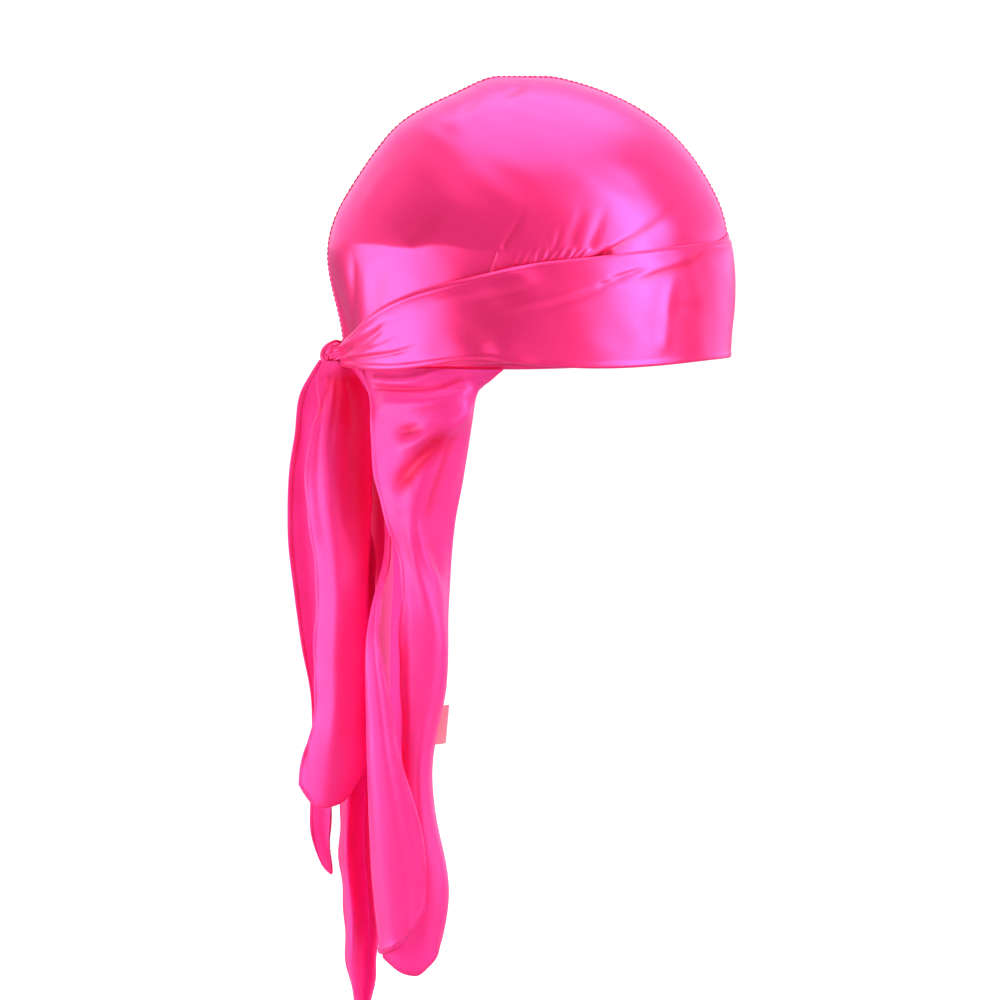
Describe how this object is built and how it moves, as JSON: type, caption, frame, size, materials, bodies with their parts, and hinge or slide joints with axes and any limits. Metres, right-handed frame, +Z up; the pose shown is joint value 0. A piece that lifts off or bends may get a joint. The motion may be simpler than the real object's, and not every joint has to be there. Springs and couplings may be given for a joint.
{
  "type": "durag",
  "caption": "Satin head wrap: a domed crown with a seam over the top, ties wound into a wide band, a knot at the back, hanging tails and a cape over the nape.",
  "frame": {"origin": "middle of the head opening, level with the crown's hem at the ears", "axes": "+X towards the forehead, +Y towards the wearer's left side, +Z up"},
  "size_m": [0.2246, 0.1674, 0.472],
  "materials": {
    "satin_cloth": "glossy satin weave, hot pink",
    "satin_seam": "satin folded and gathered, a deeper pink",
    "label_tape": "plain matt woven tape, pale pink, with no print"
  },
  "bodies": {
    "root": {"crown_right_panel": "satin_cloth", "crown_left_panel": "satin_cloth", "centre_seam": "satin_seam", "inner_strap_wrap": "satin_cloth", "outer_strap_wrap": "satin_cloth", "knot": "satin_seam", "short_tail": "satin_cloth", "long_tail": "satin_cloth", "cape_right_flap": "satin_cloth", "cape_left_flap": "satin_cloth", "care_label": "label_tape"}
  },
  "joints": []
}
